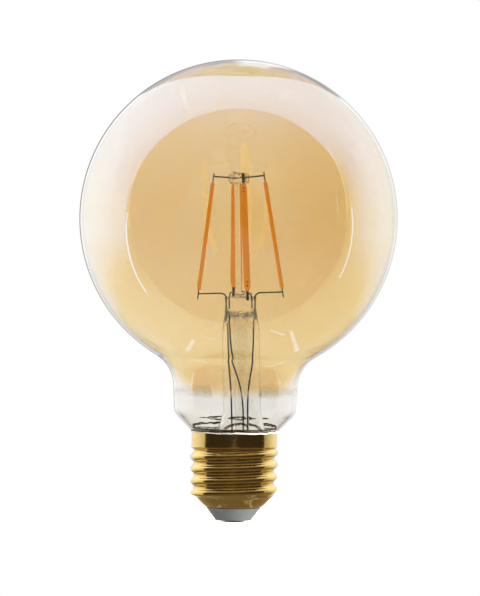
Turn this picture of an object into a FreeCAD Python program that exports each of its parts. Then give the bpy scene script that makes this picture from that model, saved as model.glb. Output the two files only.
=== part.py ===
import FreeCAD, Part
import math
import os

import Sketcher
from FreeCAD import Placement, Rotation, Vector

# A blown-glass globe bulb with four standing filaments, a pinched glass stem and a rolled screw cap.
# The origin is the middle of the flat underside of the centre contact, and +Z runs up the bulb's axis.

doc = FreeCAD.newDocument("globe_bulb")

# Driving dimensions, in millimetres and degrees. Heights are above the centre contact's flat face.
SIZES = [
    ("overall_height", 138.0, "contact face to the top of the globe"),
    ("globe_radius", 47.5, "outside of the blown globe"),
    ("glass_wall", 0.8, "wall of the blown bulb"),
    ("neck_radius", 18.9, "neck where it leaves the globe"),
    ("neck_low_radius", 18.1, "neck just above its shoulder"),
    ("neck_fillet", 10.7, "hollow curve from globe to neck"),
    ("least_neck", 2.0, "shortest neck that a low or wide globe leaves"),
    ("shoulder_height", 5.7, "where the neck turns in to the cap, above the cap's rim"),
    ("shoulder_fillet", 4.0, "round of that turn"),
    ("fillet_share", 0.8, "most of a straight run that the round at its end takes"),
    ("ledge_radius", 13.1, "glass just above the cap's rim"),
    ("ledge_room", 0.3, "room between the cap's rim and the glass over it"),
    ("ledge_rise", 0.3, "slope of the glass over the cap's rim"),
    ("ledge_least", 0.1, "narrowest step inside the glass, over the collar"),
    ("collar_radius", 12.1, "glass collar inside the cap"),
    ("collar_length", 3.4, "how deep the collar stands in the cap"),
    ("stem_radius", 5.6, "stem tube, outside"),
    ("stem_wall", 0.85, "wall of the stem tube"),
    ("stem_straight_foot", 4.4, "where the stem tube starts to flare, above the flare's waist"),
    ("stem_straight_top", 10.0, "where the pinch starts, below the top of the press"),
    ("flare_foot", 0.4, "flare's rim, melted to the bulb's collar, below the cap's rim"),
    ("flare_rise", 1.9, "height of the flare's waist above its rim"),
    ("waist_share", 0.25, "share of the stem's offset that is left at the waist"),
    ("flare_waist_radius", 7.4, "radius of the flare at its waist"),
    ("flare_fit", 0.05, "room between flare rim and collar"),
    ("press_width", 9.5, "width of the pinched press"),
    ("press_depth", 4.9, "thickness of the pinched press"),
    ("press_height", 67.2, "top of the press"),
    ("press_draft", 0.96, "share of the press's thickness at its top"),
    ("pinch_height", 4.6, "where the pinch has its full squeeze, below the top of the press"),
    ("cavity_height", 7.0, "end of the hollow in the stem, below the top of the press"),
    ("cavity_width", 7.8, "hollow just under the press, wide way"),
    ("cavity_depth", 4.8, "hollow just under the press, narrow way"),
    ("vent_radius", 0.8, "pumping hole through the back of the press"),
    ("vent_rise", 1.4, "middle of that hole above the hollow in the stem"),
    ("riser_radius", 0.6, "hole that joins it to the exhaust tube"),
    ("exhaust_radius", 2.1, "exhaust tube, outside"),
    ("exhaust_wall", 0.7, "wall of the exhaust tube"),
    ("exhaust_tip", 6.7, "melted tip of the exhaust tube, below the flare's rim"),
    ("tip_length", 3.2, "length of the drawn tip"),
    ("post_radius", 1.45, "glass rod up the middle"),
    ("post_foot_radius", 2.2, "melted foot of the rod"),
    ("post_foot_height", 1.3, "height of that foot"),
    ("bead_radius", 3.15, "glass bead on top of the rod"),
    ("bead_length", 3.3, "height of the bead"),
    ("bead_foot", 1.7, "underside of the bead, a filament's length and this above the press"),
    ("bead_edge", 1.1, "round of the bead's edges"),
    ("mount_shift", 2.3, "how far the stem stands off the bulb's axis at its foot"),
    ("mount_lean", 1.8, "how far the stem leans back towards the axis"),
    ("cage_turn", 9.5, "turn of the filament cage about the axis"),
    ("filament_length", 32.0, "coated length"),
    ("filament_width", 1.9, "coated width"),
    ("filament_depth", 1.0, "coated thickness"),
    ("filament_taper", 1.5, "length of the pointed coating at each end"),
    ("filament_end_width", 1.0, "width of the coating at its ends"),
    ("filament_round", 0.32, "round of the coating's long edges"),
    ("foot_circle", 13.0, "radius of the filament feet about the rod"),
    ("head_circle", 7.5, "radius of the filament heads about the rod"),
    ("cage_foot", 0.5, "tips of the lower tabs, below the top of the press"),
    ("cage_head", 1.0, "tips of the upper tabs, above the ends of their wires"),
    ("tab_width", 0.8, "metal tab at each filament end"),
    ("tab_gauge", 0.25, "thickness of the tabs"),
    ("wire_radius", 0.22, "support and lead wires"),
    ("contact_wire_drift", 1.4, "how far the contact's wire leans over on its way up"),
    ("side_wire_radius", 0.15, "wire that lies in the cement beside the collar"),
    ("side_wire_room", 0.5, "how far that wire keeps inside the thread and the board's edge"),
    ("wire_bend", 2.0, "bend of the lower support wires"),
    ("wire_height", 1.2, "arms of the lower support wires, above the top of the press"),
    ("wire_root", 3.6, "how far down the wires reach into the press"),
    ("outer_wire_reach", 4.1, "outer pair of wires, from the middle of the press"),
    ("inner_wire_reach", 3.2, "inner pair of wires, from the middle of the press"),
    ("top_wire_height", 1.7, "wires in the bead, above its underside"),
    ("top_wire_rise", 0.6, "climb of those wires to the filament heads"),
    ("top_wire_inner", 0.6, "how near to the axis the wires reach in the bead"),
    ("weld_gap", 0.05, "room between a wire's end and what it is joined to"),
    ("lead_drop", 1.6, "start of the leads, below the roots of the support wires"),
    ("lead_end_room", 0.25, "room between a lead's end and the board"),
    ("left_lead_x", -3.9, "left lead at the press, along its width"),
    ("left_lead_y", -0.4, "the same lead, to the back"),
    ("left_lead_foot_x", -3.0, "left lead in the cap, along the press's width"),
    ("left_lead_foot_y", -2.0, "the same lead, to the back"),
    ("middle_lead_x", -3.2, "middle lead at the press, along its width"),
    ("middle_lead_y", -1.4, "the same lead, to the back"),
    ("middle_lead_foot_x", 0.3, "middle lead in the cap, along the press's width"),
    ("middle_lead_foot_y", -3.5, "the same lead, to the back"),
    ("right_lead_x", 3.7, "right lead at the press, along its width"),
    ("right_lead_y", -0.4, "the same lead, to the back"),
    ("right_lead_foot_x", 1.6, "right lead in the cap, along the press's width"),
    ("right_lead_foot_y", -3.1, "the same lead, to the back"),
    ("cap_top", 26.7, "height of the cap's rim"),
    ("skirt_radius", 12.75, "plain skirt above the thread"),
    ("skirt_foot", 4.0, "lower edge of the skirt, below the cap's rim"),
    ("thread_pitch", 3.629, "seven turns to the inch"),
    ("thread_crest", 13.1, "radius over the crests"),
    ("thread_root", 12.1, "radius in the roots"),
    ("thread_start", 2.75, "height of a crest on the right, before whole turns are added"),
    ("thread_foot", 7.2, "height where the thread has run out"),
    ("thread_fade", 1.1, "height over which the thread runs out"),
    ("taper_top", 8.2, "height where the cap's taper meets the thread"),
    ("taper_bulge", 0.8, "power of the taper's curve, 1 for a straight cone"),
    ("cap_foot", 4.3, "height of the cap's lower edge"),
    ("cap_foot_radius", 8.1, "radius of the lower edge"),
    ("sheet_gauge", 0.3, "brass sheet of the cap"),
    ("solder_angle", 6.3, "turn of the side solder from the front"),
    ("solder_radius", 1.9, "half-round patch of solder"),
    ("solder_gauge", 0.25, "thickness of that patch"),
    ("solder_lap", 0.2, "how far that patch stands over the rim"),
    ("insulator_foot_radius", 5.3, "insulator round the contact"),
    ("insulator_floor", 2.9, "thickness of the insulator at the contact"),
    ("insulator_fit", 0.12, "room between the insulator and the brass"),
    ("insulator_step", 0.3, "height of the insulator's steps inside the cap"),
    ("holder_radius", 10.2, "ring that holds the driver board"),
    ("holder_wall", 1.2, "wall of that ring"),
    ("holder_height", 10.2, "top of that ring"),
    ("contact_radius", 3.45, "centre contact"),
    ("contact_gauge", 0.5, "thickness of the contact's head"),
    ("rivet_radius", 1.2, "shank of the contact"),
    ("rivet_head_radius", 2.0, "head inside the cap"),
    ("rivet_head_gauge", 0.5, "thickness of that head"),
    ("board_radius", 9.9, "driver board"),
    ("board_gauge", 1.0, "thickness of the board"),
    ("can_radius", 2.5, "smoothing capacitor"),
    ("can_length", 9.0, "length of the capacitor"),
    ("can_y", 4.6, "capacitor behind the middle of the board"),
    ("resistor_radius", 1.1, "fusible resistor"),
    ("resistor_length", 6.0, "length of the resistor"),
    ("resistor_y", 5.2, "resistor behind the middle of the board"),
    ("rectifier_length", 4.8, "bridge rectifier"),
    ("rectifier_width", 3.9, "width of the rectifier"),
    ("rectifier_height", 1.6, "height of the rectifier"),
    ("rectifier_x", -5.5, "corner of the rectifier, to the right"),
    ("rectifier_y", -8.0, "the same corner, to the back"),
    ("chip_length", 4.9, "driver chip"),
    ("chip_width", 3.9, "width of the chip"),
    ("chip_height", 1.5, "height of the chip"),
    ("chip_x", -4.6, "corner of the chip, to the right"),
    ("chip_y", -1.5, "the same corner, to the back"),
    ("solder_gap", 0.1, "room for solder under the components"),
    ("cut_overlap", 0.2, "how far one hollow runs into the next"),
]

# Places worked out from the sizes above.
PLACES = [
    ("globe_centre", "=sizes.overall_height - sizes.globe_radius"),
    ("shoulder", "=sizes.cap_top + sizes.shoulder_height"),
    ("neck_join", "=max(globe_centre - sqrt(sizes.globe_radius^2 - sizes.neck_radius^2);"
                  " shoulder + sizes.least_neck)"),
    ("join_radius", "=sqrt(sizes.globe_radius^2 - (globe_centre - neck_join)^2)"),
    ("collar_top", "=sizes.cap_top + sizes.ledge_room"),
    ("ledge_height", "=collar_top + sizes.ledge_rise"),
    ("collar_foot", "=sizes.cap_top - sizes.collar_length"),
    ("collar_bore", "=sizes.collar_radius - sizes.glass_wall"),
    ("hollow_top", "=sizes.overall_height - sizes.glass_wall"),
    ("hollow_radius", "=sizes.globe_radius - sizes.glass_wall"),
    ("neck_run", "=sqrt((join_radius - sizes.neck_low_radius)^2 + (neck_join - shoulder)^2)"),
    ("neck_out", "=(neck_join - shoulder) / neck_run"),
    ("neck_down", "=(join_radius - sizes.neck_low_radius) / neck_run"),
    ("shoulder_run", "=sqrt((sizes.neck_low_radius - sizes.ledge_radius)^2 + (shoulder - ledge_height)^2)"),
    ("shoulder_out", "=(shoulder - ledge_height) / shoulder_run"),
    ("shoulder_down", "=(sizes.neck_low_radius - sizes.ledge_radius) / shoulder_run"),
    ("globe_out", "=join_radius / sizes.globe_radius"),
    ("globe_down", "=(globe_centre - neck_join) / sizes.globe_radius"),
    ("hollow_join", "=neck_join + sizes.glass_wall * (globe_down + neck_down)"
                    " / (1 + globe_out * neck_out + globe_down * neck_down)"),
    ("hollow_join_radius", "=sqrt(hollow_radius^2 - (globe_centre - hollow_join)^2)"),
    ("turn_share", "=1 + neck_out * shoulder_out + neck_down * shoulder_down"),
    ("turn_reach", "=sqrt((2 - turn_share) / turn_share)"),
    ("hollow_low_radius", "=sizes.neck_low_radius - sizes.glass_wall * (neck_out + shoulder_out) / turn_share"),
    ("hollow_shoulder", "=shoulder + sizes.glass_wall * (neck_down + shoulder_down) / turn_share"),
    ("hollow_ledge", "=collar_top + sizes.glass_wall"),
    ("hollow_ledge_radius", "=max(hollow_low_radius - (hollow_shoulder - hollow_ledge) * shoulder_down"
                            " / shoulder_out; collar_bore + sizes.ledge_least)"),
    ("hollow_foot", "=collar_foot - sizes.cut_overlap"),
    ("neck_round", "=min(sizes.neck_fillet; neck_run * sizes.fillet_share)"),
    ("hollow_neck_round", "=neck_round + sizes.glass_wall"),
    ("shoulder_round", "=min(sizes.shoulder_fillet; shoulder_run * sizes.fillet_share)"),
    ("turn_top_radius", "=sizes.neck_low_radius + neck_down * shoulder_round * turn_reach"),
    ("turn_top", "=shoulder + neck_out * shoulder_round * turn_reach"),
    ("turn_low_radius", "=sizes.neck_low_radius - shoulder_down * shoulder_round * turn_reach"),
    ("turn_low", "=shoulder - shoulder_out * shoulder_round * turn_reach"),
    ("hollow_shoulder_round", "=shoulder_round - sizes.glass_wall"),
    ("hollow_turn_top_radius", "=hollow_low_radius + neck_down * hollow_shoulder_round * turn_reach"),
    ("hollow_turn_top", "=hollow_shoulder + neck_out * hollow_shoulder_round * turn_reach"),
    ("hollow_turn_low_radius", "=hollow_low_radius - shoulder_down * hollow_shoulder_round * turn_reach"),
    ("hollow_turn_low", "=hollow_shoulder - shoulder_out * hollow_shoulder_round * turn_reach"),
    ("flare_radius", "=collar_bore - sizes.flare_fit"),
    ("flare_rim", "=sizes.cap_top - sizes.flare_foot"),
    ("flare_waist", "=flare_rim + sizes.flare_rise"),
    ("tube_foot", "=flare_waist + sizes.stem_straight_foot"),
    ("tube_top", "=sizes.press_height - sizes.stem_straight_top"),
    ("pinch_foot", "=sizes.press_height - sizes.pinch_height"),
    ("cavity_top", "=sizes.press_height - sizes.cavity_height"),
    ("exhaust_bore", "=sizes.exhaust_radius - sizes.exhaust_wall"),
    ("exhaust_end", "=flare_rim - sizes.exhaust_tip"),
    ("tip_shoulder", "=exhaust_end + sizes.tip_length"),
    ("bore_tip", "=exhaust_end + sizes.exhaust_wall * 2"),
    ("post_foot_top", "=sizes.press_height + sizes.post_foot_height"),
    ("post_hollow", "=((sizes.post_foot_radius - sizes.post_radius)^2 + sizes.post_foot_height^2)"
                    " / (2 * (sizes.post_foot_radius - sizes.post_radius))"),
    ("bead_base", "=sizes.press_height + sizes.filament_length + sizes.bead_foot"),
    ("bead_head", "=bead_base + sizes.bead_length"),
    ("bead_flat", "=sizes.bead_radius - sizes.bead_edge"),
    ("bead_low", "=bead_base + sizes.bead_edge"),
    ("bead_high", "=bead_head - sizes.bead_edge"),
    ("arm_height", "=sizes.press_height + sizes.wire_height"),
    ("root_height", "=sizes.press_height - sizes.wire_root"),
    ("top_wire_low", "=bead_base + sizes.top_wire_height"),
    ("top_wire_high", "=top_wire_low + sizes.top_wire_rise"),
    ("cage_low", "=sizes.press_height - sizes.cage_foot"),
    ("cage_high", "=top_wire_high + sizes.cage_head"),
    ("skirt_low", "=sizes.cap_top - sizes.skirt_foot"),
    ("cement_radius", "=sizes.skirt_radius - sizes.sheet_gauge"),
    ("contact_seat", "=sizes.contact_gauge"),
    ("floor_top", "=sizes.contact_gauge + sizes.insulator_floor"),
    ("rivet_top", "=floor_top + sizes.rivet_head_gauge"),
    ("insulator_rim", "=sizes.cap_foot - sizes.insulator_fit"),
    ("brass_slope", "=(sizes.thread_root - sizes.cap_foot_radius) / (sizes.taper_top - sizes.cap_foot)"),
    ("throat_radius", "=sizes.cap_foot_radius - sizes.sheet_gauge - sizes.insulator_fit"),
    ("throat_top", "=sizes.cap_foot + sizes.insulator_step"),
    ("holder_low", "=sizes.cap_foot + (sizes.holder_radius + sizes.sheet_gauge + sizes.insulator_fit * 2"
                   " - sizes.cap_foot_radius) / brass_slope"),
    ("holder_bore", "=sizes.holder_radius - sizes.holder_wall"),
    ("hollow_low", "=holder_low + sizes.insulator_step"),
    ("board_top", "=sizes.holder_height + sizes.board_gauge"),
]


def fillSheet(name, rows):
    sheet = doc.addObject("Spreadsheet::Sheet", name)
    for row, (alias, content, *note) in enumerate(rows, 1):
        sheet.set(f"A{row}", alias)
        sheet.set(f"B{row}", str(content))
        sheet.set(f"C{row}", " ".join(note))
        sheet.setAlias(f"B{row}", alias)
    doc.recompute()
    return sheet


sizes = fillSheet("sizes", SIZES)
places = fillSheet("places", PLACES)
SHEET_OF = {row[0]: sizes for row in SIZES} | {row[0]: places for row in PLACES}


def number(name):
    return float(SHEET_OF[name].get(name)) if isinstance(name, str) else float(name)


def link(name):
    return f"{SHEET_OF[name].Name}.{name}"


# Sketches: lines and arcs whose corners are named cells.

def arcBetween(start, end, radius, turn):
    chord = end - start
    rise = math.sqrt(max(radius**2 - (chord.Length / 2) ** 2, 0.0))
    across = Vector(-chord.y, chord.x, 0).normalize()
    centre = (start + end) * 0.5 + across * (rise * turn)
    first, last = (start, end) if turn > 0 else (end, start)
    circle = Part.Circle(centre, Vector(0, 0, 1), radius)
    begin = math.atan2(first.y - centre.y, first.x - centre.x)
    finish = math.atan2(last.y - centre.y, last.x - centre.x)
    return Part.ArcOfCircle(circle, begin, finish)


def pinCoordinate(sketch, kind, axis, edge, end, name):
    if name == 0:
        sketch.addConstraint(Sketcher.Constraint("PointOnObject", edge, end, axis))
        return
    row = sketch.addConstraint(Sketcher.Constraint(kind, -1, 1, edge, end, number(name)))
    if isinstance(name, str):
        sketch.setExpression(f"Constraints[{row}]", link(name))


def traceOutline(sketch, corners, arcs=None, closed=True):
    """Lines through the corners, and an arc (radius, turn) for each edge that arcs names."""
    arcs = arcs or {}
    points = [Vector(number(x), number(y), 0) for x, y in corners]
    count = len(points) if closed else len(points) - 1
    edges = []
    for index in range(count):
        start, end = points[index], points[(index + 1) % len(points)]
        if index in arcs:
            radius, turn = arcs[index]
            shape = arcBetween(start, end, number(radius), turn)
        else:
            shape = Part.LineSegment(start, end)
        edges.append(sketch.addGeometry(shape, False))

    def endNear(edge, point):
        return min((1, 2), key=lambda end: sketch.getPoint(edge, end).distanceToPoint(point))

    for index, (x, y) in enumerate(corners):
        point = points[index]
        before = edges[index - 1] if closed or index > 0 else None
        after = edges[index] if index < count else None
        edge = after if after is not None else before
        end = endNear(edge, point)
        if before is not None and after is not None:
            joint = Sketcher.Constraint("Coincident", before, endNear(before, point), after, end)
            sketch.addConstraint(joint)
        pinCoordinate(sketch, "DistanceX", -2, edge, end, x)
        pinCoordinate(sketch, "DistanceY", -1, edge, end, y)
    for index, (radius, turn) in arcs.items():
        row = sketch.addConstraint(Sketcher.Constraint("Radius", edges[index], number(radius)))
        if isinstance(radius, str):
            sketch.setExpression(f"Constraints[{row}]", link(radius))


def newBody(name):
    body = doc.addObject("PartDesign::Body", name)
    body.Label = name
    return body


def newSketch(body, name, role):
    sketch = body.newObject("Sketcher::SketchObject", f"{body.Name}_{name}")
    plane = next(item for item in body.Origin.OriginFeatures if item.Role == role)
    sketch.AttachmentSupport = [(plane, "")]
    sketch.MapMode = "FlatFace"
    return sketch


def turnedBody(name, corners, arcs=None):
    """A body turned about Z from a half section of (radius, height) corners."""
    body = newBody(name)
    sketch = newSketch(body, "section", "XZ_Plane")
    traceOutline(sketch, corners, arcs)
    turned = body.newObject("PartDesign::Revolution", f"{name}_turned")
    turned.Profile = sketch
    turned.ReferenceAxis = (sketch, ["V_Axis"])
    turned.Angle = 360
    body.Tip = turned
    doc.recompute()
    return body


def roundEdges(body, radius, heights):
    """Rounds the circular edges of a turned body that lie at the given heights."""
    base = body.Tip
    wanted = [number(height) for height in heights]
    names = []
    for index, edge in enumerate(base.Shape.Edges, 1):
        box = edge.BoundBox
        flat = box.ZLength < 0.001 and box.XLength > 0.001
        if flat and any(abs(box.ZMin - height) < 0.01 for height in wanted):
            names.append(f"Edge{index}")
    fillet = body.newObject("PartDesign::Fillet", f"{body.Name}_{radius}")
    fillet.Base = (base, names)
    fillet.setExpression("Radius", link(radius))
    body.Tip = fillet
    doc.recompute()
    return fillet


def midway(start, end):
    return ((start[0] + end[0]) / 2, (start[1] + end[1]) / 2)


def easyRadius(start, end):
    """Radius of the two equal arcs of an S that leaves and arrives upright."""
    across = abs(end[0] - start[0])
    return (across**2 + (end[1] - start[1]) ** 2) / (4 * across)


def wireBody(name, corners, arcs=None, radius="wire_radius"):
    """A round wire along a flat path of (run, height) corners."""
    body = newBody(name)
    path = newSketch(body, "path", "XZ_Plane")
    traceOutline(path, corners, arcs, closed=False)
    ring = newSketch(body, "ring", "XY_Plane")
    start = Vector(number(corners[0][0]), 0, number(corners[0][1]))
    ring.AttachmentOffset = Placement(start, Rotation())
    centre = Vector(0, 0, 0)
    circle = ring.addGeometry(Part.Circle(centre, Vector(0, 0, 1), number(radius)), False)
    ring.addConstraint(Sketcher.Constraint("Coincident", circle, 3, -1, 1))
    row = ring.addConstraint(Sketcher.Constraint("Radius", circle, number(radius)))
    ring.setExpression(f"Constraints[{row}]", link(radius))
    pipe = body.newObject("PartDesign::AdditivePipe", f"{name}_pipe")
    pipe.Profile = ring
    pipe.Spine = (path, [])
    body.Tip = pipe
    doc.recompute()
    return body


# Part primitives, with their sizes bound to the cells.

def primitive(kind, name, placement=None, **bindings):
    item = doc.addObject(f"Part::{kind}", name)
    if placement is not None:
        item.Placement = placement
    for field, cell in bindings.items():
        item.setExpression(field, cell)
    return item


def at(x=0.0, y=0.0, z=0.0, axis=Vector(0, 0, 1), angle=0.0):
    return Placement(Vector(x, y, z), Rotation(axis, angle))


def ring(name, height, width, depth=None, x=0.0):
    """A closed circle or ellipse at a height, for a loft."""
    spot = at(x, 0, height)
    if depth is None:
        item = primitive("Circle", name, spot)
        item.Radius = width
    else:
        item = primitive("Ellipse", name, spot)
        item.MajorRadius = width
        item.MinorRadius = depth
    return item


def loft(name, sections):
    item = doc.addObject("Part::Loft", name)
    item.Sections = sections
    item.Solid = True
    item.Ruled = False
    return item


def fuse(name, items):
    item = doc.addObject("Part::MultiFuse", name)
    item.Shapes = items
    return item


def cut(name, base, tool):
    item = doc.addObject("Part::Cut", name)
    item.Base = base
    item.Tool = tool
    item.Label = name
    return item


def bulbOutline(name, corners, globe, bend, turn):
    """The bulb's outside or its hollow: globe, neck, shoulder and collar, with both bends rounded."""
    body = turnedBody(name, corners, {0: (globe, -1), 2: (turn, -1)})
    roundEdges(body, bend, [corners[1][1]])
    return body


def glassGlobe():
    outside = bulbOutline(
        "bulb_outside",
        [
            (0, "overall_height"),
            ("join_radius", "neck_join"),
            ("turn_top_radius", "turn_top"),
            ("turn_low_radius", "turn_low"),
            ("ledge_radius", "ledge_height"),
            ("collar_radius", "collar_top"),
            ("collar_radius", "collar_foot"),
            (0, "collar_foot"),
        ],
        "globe_radius", "neck_round", "shoulder_round",
    )
    # The bulb is blown, so one even wall follows the whole outline, open at the collar.
    hollow = bulbOutline(
        "bulb_hollow",
        [
            (0, "hollow_top"),
            ("hollow_join_radius", "hollow_join"),
            ("hollow_turn_top_radius", "hollow_turn_top"),
            ("hollow_turn_low_radius", "hollow_turn_low"),
            ("hollow_ledge_radius", "hollow_ledge"),
            ("collar_bore", "hollow_ledge"),
            ("collar_bore", "hollow_foot"),
            (0, "hollow_foot"),
        ],
        "hollow_radius", "hollow_neck_round", "hollow_shoulder_round",
    )
    return cut("glass_globe", outside, hollow)


def exhaustTube():
    return turnedBody(
        "exhaust_tube",
        [
            ("exhaust_radius", "cavity_top"),
            ("exhaust_bore", "cavity_top"),
            ("exhaust_bore", "tip_shoulder"),
            (0, "bore_tip"),
            (0, "exhaust_end"),
            ("exhaust_radius", "tip_shoulder"),
        ],
    )


def centrePost():
    return turnedBody(
        "centre_post",
        [
            (0, "press_height"),
            ("post_foot_radius", "press_height"),
            ("post_radius", "post_foot_top"),
            ("post_radius", "bead_base"),
            (0, "bead_base"),
        ],
        {1: ("post_hollow", -1)},
    )


def beadBlank():
    return turnedBody(
        "bead_blank",
        [
            (0, "bead_base"),
            ("bead_flat", "bead_base"),
            ("bead_radius", "bead_low"),
            ("bead_radius", "bead_high"),
            ("bead_flat", "bead_head"),
            (0, "bead_head"),
        ],
        {1: ("bead_edge", 1), 3: ("bead_edge", 1)},
    )


def stemBlank():
    """Flare, tube and press of the stem as one solid, and the hollow inside it."""
    wall = number("stem_wall")
    shift = number("mount_shift")
    foot = number("tube_foot")
    top = number("tube_top")

    def flare(name, inset):
        return loft(name, [
            ring(f"{name}_rim", number("flare_rim"), number("flare_radius") - inset, x=-shift),
            ring(f"{name}_waist", number("flare_waist"), number("flare_waist_radius") - inset,
                 x=-shift * number("waist_share")),
            ring(f"{name}_neck", foot, number("stem_radius") - inset),
        ])

    def tube(name, inset):
        item = primitive("Cylinder", name, at(z=foot))
        item.setExpression("Radius", f"{link('stem_radius')} - {inset}")
        item.setExpression("Height", f"{link('tube_top')} - {link('tube_foot')}")
        return item

    half = number("press_width") / 2
    depth = number("press_depth") / 2
    pinch = number("pinch_foot")
    middle = (top + pinch) / 2
    press = loft("press_loft", [
        ring("press_tube", top, number("stem_radius")),
        ring("press_neck", middle, (number("stem_radius") + half) / 2, (number("stem_radius") + depth) / 2),
        ring("press_pinch", pinch, half, depth),
        ring("press_top", number("press_height"), half, depth * number("press_draft")),
    ])
    hollow = loft("cavity_loft", [
        ring("cavity_tube", top, number("stem_radius") - wall),
        ring("cavity_end", number("cavity_top"), number("cavity_width") / 2, number("cavity_depth") / 2),
    ])
    solid = fuse("stem_outside", [flare("flare_outside", 0.0), tube("tube_outside", 0.0), press])
    # The pumping hole rises from the exhaust tube and leaves through the back of the press.
    cavity = number("cavity_top")
    below = at(z=cavity - number("cut_overlap"))
    riser = primitive("Cylinder", "vent_riser", below, Radius=link("riser_radius"))
    riser.setExpression("Height", f"{link('vent_rise')} + {link('cut_overlap')}")
    toBack = at(z=cavity + number("vent_rise"), axis=Vector(1, 0, 0), angle=-90)
    side = primitive("Cylinder", "vent_side", toBack, Radius=link("vent_radius"), Height=link("stem_radius"))
    inside = fuse("stem_inside", [flare("flare_inside", wall), tube("tube_inside", wall), hollow, riser, side])
    return solid, inside


def filamentLean():
    """The filaments' lean from upright, in degrees."""
    spread = number("foot_circle") - number("head_circle")
    return math.degrees(math.atan2(spread, number("cage_high") - number("cage_low")))


def filamentPlacement(turn):
    lean = filamentLean()
    radius = (number("foot_circle") + number("head_circle")) / 2
    height = (number("cage_high") + number("cage_low")) / 2
    upright = Placement(Vector(radius, 0, height), Rotation(Vector(0, 1, 0), -lean))
    return mount.multiply(at(angle=turn)).multiply(upright)


def filamentAt(height):
    """Radius of a filament's middle line at a height."""
    fall = (number("foot_circle") - number("head_circle")) / (number("cage_high") - number("cage_low"))
    return number("foot_circle") - (height - number("cage_low")) * fall


def tabFace(height):
    """Radius at which a wire's end meets the inner face of a tab."""
    lean = math.radians(filamentLean())
    backOff = number("wire_radius") * math.tan(lean) + number("weld_gap")
    return filamentAt(height) - number("tab_gauge") / 2 / math.cos(lean) - backOff


def filament(name, turn):
    """Coated strip, seen face on from outside the cage, with pointed ends."""
    body = newBody(name)
    sketch = newSketch(body, "face", "YZ_Plane")
    half = number("filament_length") / 2
    side = number("filament_width") / 2
    tip = number("filament_end_width") / 2
    full = half - number("filament_taper")
    outline = [(tip, half), (side, full), (side, -full), (tip, -half)]
    outline += [(-y, z) for y, z in reversed(outline)]
    traceOutline(sketch, outline)
    pad = body.newObject("PartDesign::Pad", f"{name}_pad")
    pad.Profile = sketch
    pad.setExpression("Length", link("filament_depth"))
    pad.Midplane = True
    body.Tip = pad
    doc.recompute()
    long = [
        f"Edge{index}"
        for index, edge in enumerate(pad.Shape.Edges, 1)
        if edge.Length > number("filament_length") / 2
    ]
    fillet = body.newObject("PartDesign::Fillet", f"{name}_round")
    fillet.Base = (pad, long)
    fillet.setExpression("Radius", link("filament_round"))
    body.Tip = fillet
    body.Placement = filamentPlacement(turn)
    return body


def filamentTabs(name, turn):
    """The two metal tabs that stand out of a filament's ends."""
    overall = (number("cage_high") - number("cage_low")) / math.cos(math.radians(filamentLean()))
    length = (overall - number("filament_length")) / 2
    tabs = []
    for end, low in (("head", number("filament_length") / 2), ("foot", -overall / 2)):
        place = at(-number("tab_gauge") / 2, -number("tab_width") / 2, low)
        tab = primitive("Box", f"{name}_{end}", place, Length=link("tab_gauge"), Width=link("tab_width"))
        tab.Height = length
        tabs.append(tab)
    pair = doc.addObject("Part::Compound", name)
    pair.Links = tabs
    pair.Label = name
    pair.Placement = filamentPlacement(turn)
    return pair


def lowerWire(name, turn, reach):
    """Rises out of the press, bends over and runs to the foot of the filament at the turn."""
    start = at(angle=turn).inverse().multVec(Vector(reach, 0, 0))
    goal = Vector(tabFace(number("arm_height")), 0, 0)
    run = (goal - start).Length
    heading = math.degrees(math.atan2(-start.y, goal.x - start.x))
    bend = number("wire_bend")
    body = wireBody(
        name,
        [(0, "root_height"), (0, number("arm_height") - bend), (bend, "arm_height"), (run, "arm_height")],
        {1: ("wire_bend", -1)},
    )
    own = Placement(start, Rotation(Vector(0, 0, 1), heading))
    body.Placement = mount.multiply(at(angle=turn)).multiply(own)
    return body


def topWire(name, turn):
    """Runs out of the bead to the head of the filament at the turn."""
    low = number("top_wire_low")
    high = number("top_wire_high")
    reach = tabFace(high) - number("top_wire_inner")
    slope = math.degrees(math.atan2(high - low, reach))
    rod = primitive("Cylinder", name, Radius=link("wire_radius"))
    rod.Height = math.hypot(reach, high - low)
    rod.Label = name
    own = Placement(Vector(number("top_wire_inner"), 0, low), Rotation(Vector(0, 1, 0), 90 - slope))
    rod.Placement = mount.multiply(at(angle=turn)).multiply(own)
    return rod


def stemLead(side):
    """Runs down from the press between stem tube and exhaust tube, in one long easy S, to the board."""
    top = Vector(number(f"{side}_lead_x"), number(f"{side}_lead_y"), 0)
    foot = Vector(number(f"{side}_lead_foot_x"), number(f"{side}_lead_foot_y"), 0)
    drift = (foot - top).Length
    heading = math.degrees(math.atan2(foot.y - top.y, foot.x - top.x))
    start = (0, number("root_height") - number("lead_drop"))
    high = (0, number("tube_top"))
    low = (drift, number("tube_foot"))
    end = (drift, number("board_top") + number("lead_end_room"))
    sweep = easyRadius(high, low)
    body = wireBody(
        f"stem_lead_{side}",
        [start, high, midway(high, low), low, end],
        {1: (sweep, 1), 2: (sweep, -1)},
    )
    body.Placement = mount.multiply(Placement(top, Rotation(Vector(0, 0, 1), heading)))
    return body


# The rolled thread: arcs of one radius, crest and root alike, that meet at half depth.

def threadWave(distance):
    """Height of the thread from -1 in a root to +1 on a crest, a distance along the axis from a crest."""
    quarter = number("thread_pitch") / 4
    depth = number("thread_crest") - number("thread_root")
    arc = (quarter**2 + (depth / 2) ** 2) / depth
    offset = (distance + 2 * quarter) % (4 * quarter) - 2 * quarter
    if abs(offset) <= quarter:
        return (math.sqrt(arc**2 - offset**2) - arc) * 2 / depth + 1
    return 1 - threadWave(2 * quarter - abs(offset)) - 1


def easeIn(share):
    share = min(max(share, 0.0), 1.0)
    return share * share * (3 - 2 * share)


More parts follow.
